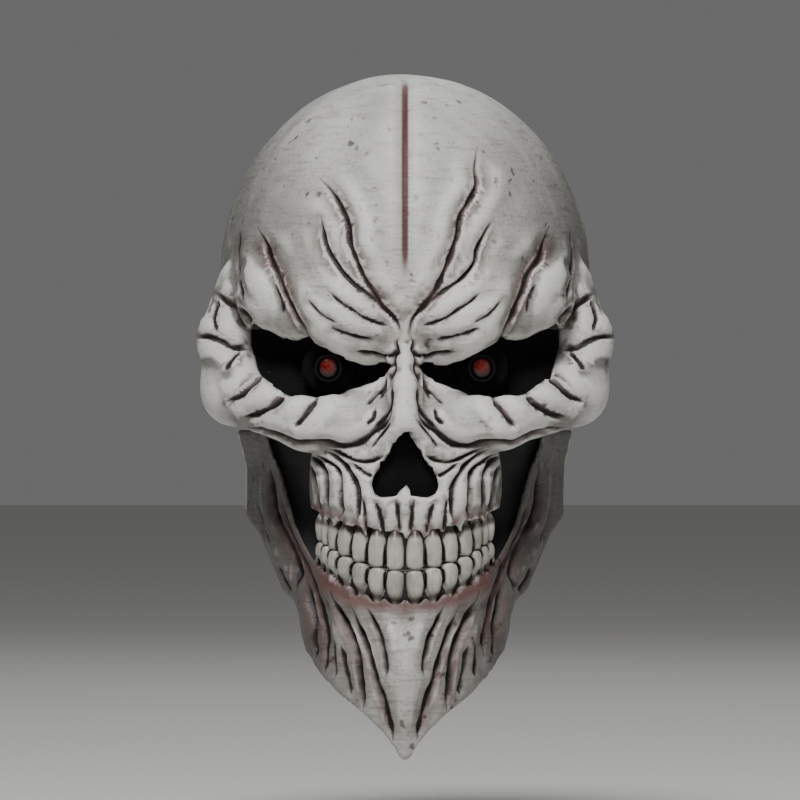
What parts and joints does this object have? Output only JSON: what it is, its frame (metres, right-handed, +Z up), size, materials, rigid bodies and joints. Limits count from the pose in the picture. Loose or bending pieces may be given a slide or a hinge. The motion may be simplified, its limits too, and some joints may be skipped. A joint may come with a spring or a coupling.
{
  "type": "latex halloween mask",
  "caption": "Pull-on latex skull mask with a sprung moving jaw, bared teeth, lit eyes behind gauze and a back slit closed by tabs.",
  "frame": {"origin": "middle of the crown pad's flat underside, where the top of the wearer's head rests", "axes": "+Z up, the face looks along -Y, +X is the wearer's left, symmetric about X = 0"},
  "size_m": [0.1936, 0.2338, 0.3164],
  "materials": {
    "latex": "slush-cast latex, bone white with a dark wash, satin",
    "resin": "cast resin teeth, satin",
    "gauze": "fine black see-through gauze",
    "lens": "clear red moulding",
    "plastic": "black moulded ABS, fine texture",
    "foam": "charcoal open-cell foam",
    "fabric": "black stretch fabric",
    "webbing": "black hook-and-loop webbing",
    "elastic": "black woven elastic",
    "steel": "plated steel"
  },
  "bodies": {
    "skull": {"shell_crown": "latex", "shell_face_left": "latex", "shell_face_right": "latex", "shell_side_left": "latex", "shell_side_right": "latex", "upper_teeth": "resin", "nose_screen": "gauze", "eye_screen_left": "gauze", "lamp_housing_left": "plastic", "lamp_cell_left": "steel", "lamp_diode_left": "lens", "lamp_bracket_left": "plastic", "eye_screen_right": "gauze", "lamp_housing_right": "plastic", "lamp_cell_right": "steel", "lamp_diode_right": "lens", "lamp_bracket_right": "plastic", "crown_pad": "foam", "forehead_pad": "foam", "temple_pad_left": "foam", "nape_pad_left": "foam", "hinge_block_left": "plastic", "jaw_screw_left": "steel", "temple_pad_right": "foam", "nape_pad_right": "foam", "hinge_block_right": "plastic", "jaw_screw_right": "steel", "tab_root_upper": "webbing", "loop_patch_upper": "webbing", "tab_rivet_upper_1": "steel", "tab_rivet_upper_2": "steel", "tab_root_lower": "webbing", "loop_patch_lower": "webbing", "tab_rivet_lower_1": "steel", "tab_rivet_lower_2": "steel"},
    "jaw": {"jaw_shell": "latex", "lower_teeth": "resin", "jaw_yoke": "plastic", "chin_cup": "plastic", "chin_pad": "foam", "cup_screw_left": "steel", "jaw_elastic_left": "elastic", "cheek_gusset_left": "fabric", "cup_screw_right": "steel", "jaw_elastic_right": "elastic", "cheek_gusset_right": "fabric"},
    "bezel_left": {"lamp_bezel_left": "plastic", "eye_lens_left": "lens"},
    "bezel_right": {"lamp_bezel_right": "plastic", "eye_lens_right": "lens"},
    "tab_upper": {"closure_tab_upper": "webbing"},
    "tab_lower": {"closure_tab_lower": "webbing"}
  },
  "joints": [
    {"name": "jaw_hinge", "type": "hinge", "parent": "skull", "child": "jaw", "pos_m": [0, -0.005, -0.131], "axis": [1, 0, 0], "range_deg": [0, 20], "stiffness_Nm_per_rad": 0.4, "springref_deg": -28.65, "deforming": ["jaw_elastic_left", "jaw_elastic_right", "cheek_gusset_left", "cheek_gusset_right"]},
    {"name": "lamp_twist_left", "type": "hinge", "parent": "skull", "child": "bezel_left", "pos_m": [0.035, -0.0946, -0.1235], "axis": [0, -1, 0], "range_deg": [0, 60]},
    {"name": "lamp_twist_right", "type": "hinge", "parent": "skull", "child": "bezel_right", "pos_m": [-0.035, -0.0946, -0.1235], "axis": [0, -1, 0], "range_deg": [0, 60]},
    {"name": "tab_fold_upper", "type": "hinge", "parent": "skull", "child": "tab_upper", "pos_m": [-0.033, 0.1045, -0.104], "axis": [0, 0.2696, 0.963], "range_deg": [0, 110]},
    {"name": "tab_fold_lower", "type": "hinge", "parent": "skull", "child": "tab_lower", "pos_m": [-0.033, 0.0895, -0.136], "axis": [0, 0.6198, 0.7848], "range_deg": [0, 110]}
  ]
}
